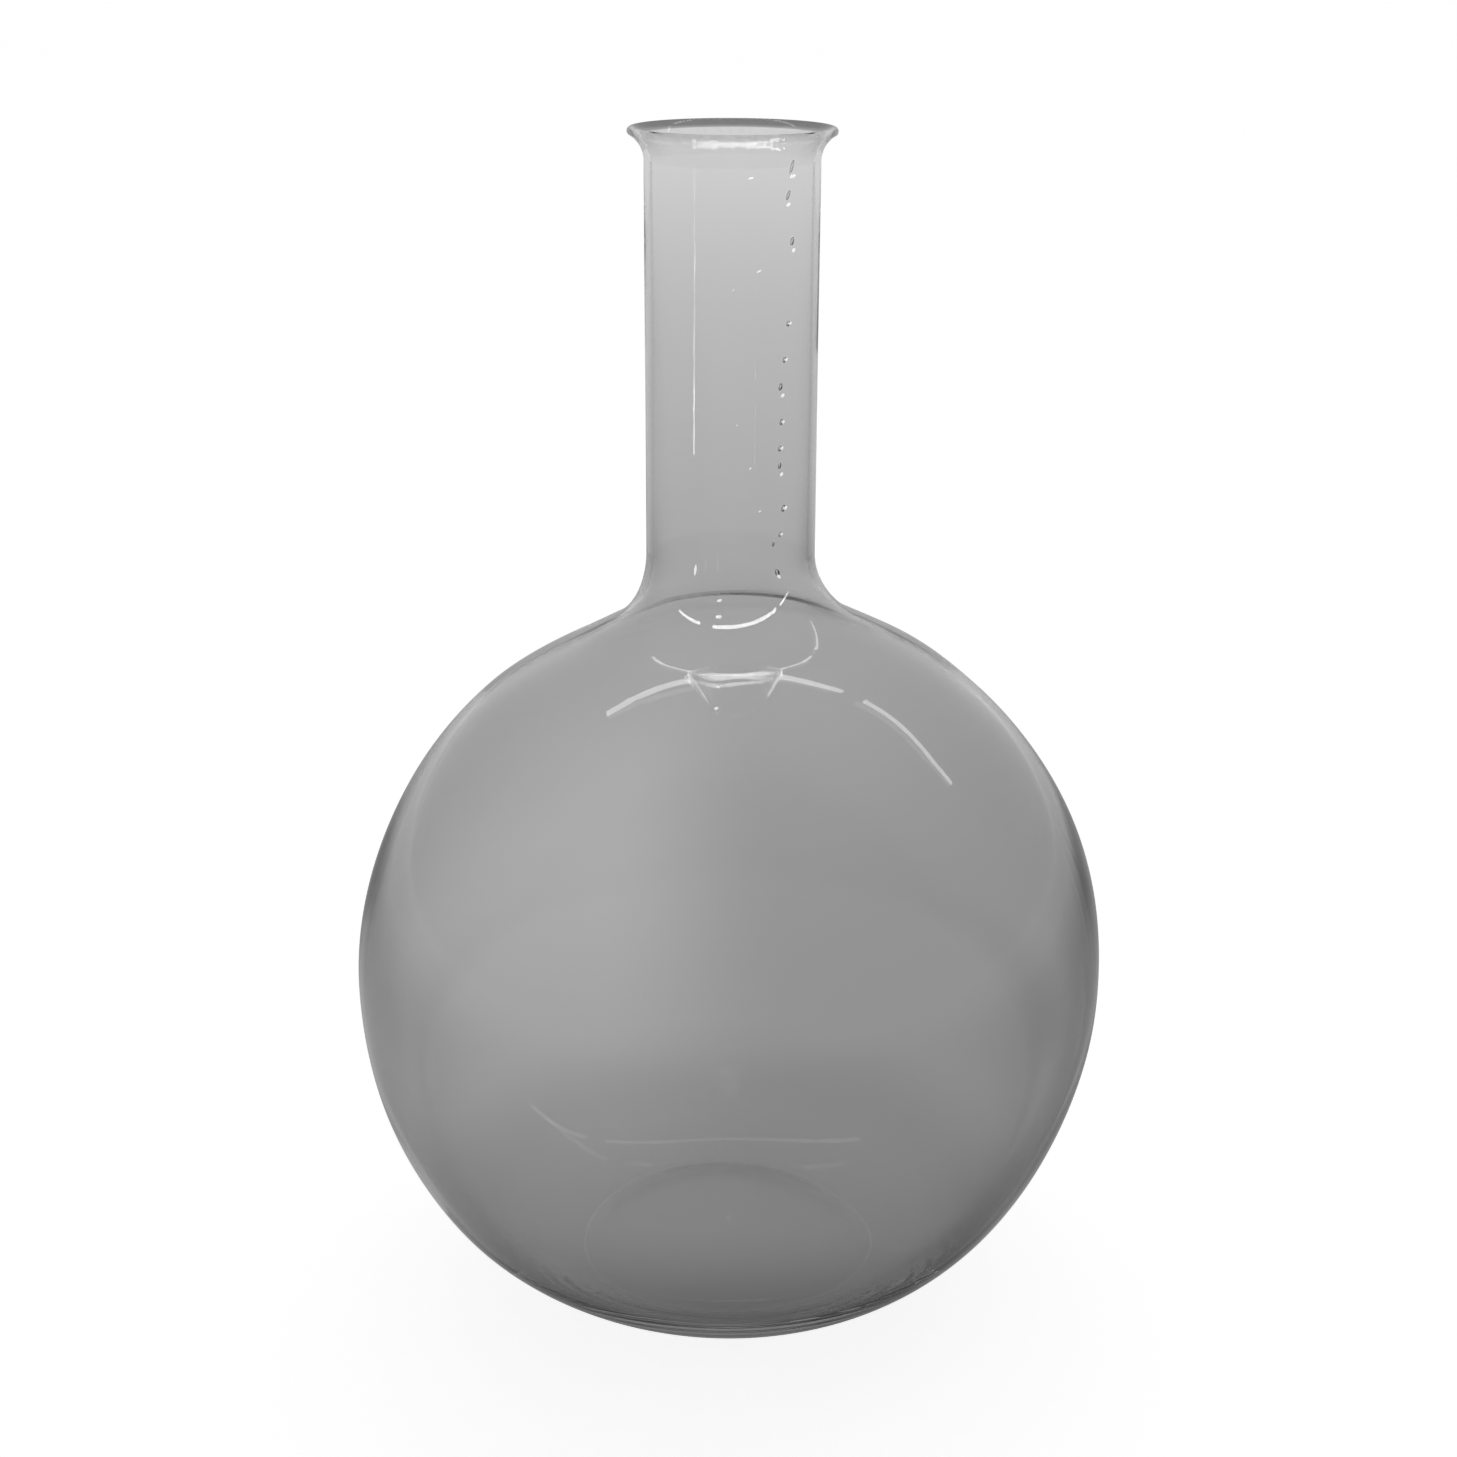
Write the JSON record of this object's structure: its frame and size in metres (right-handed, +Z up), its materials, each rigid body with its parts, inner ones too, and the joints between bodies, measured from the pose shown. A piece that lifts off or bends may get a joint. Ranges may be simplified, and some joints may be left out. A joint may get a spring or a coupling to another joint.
{
  "type": "round bottom flask",
  "caption": "Hand-blown glass laboratory flask: round globe, straight neck with a flared fire-polished mouth, and a small flattened, pushed-up base it stands on.",
  "frame": {"origin": "middle of the plane that the flask's foot ring stands on, on the flask's axis", "axes": "+Z up along the axis of the globe and neck; the flask is round, so X and Y are any two directions across it"},
  "size_m": [0.236, 0.236, 0.3657],
  "materials": {
    "glass": "clear smoky grey blown glass, fire-polished"
  },
  "bodies": {
    "root": {"lip_bead": "glass", "mouth_flare": "glass", "neck_tube": "glass", "shoulder": "glass", "globe_crown": "glass", "globe_upper": "glass", "globe_lower": "glass", "base_heel": "glass", "base_punt": "glass"}
  },
  "joints": []
}
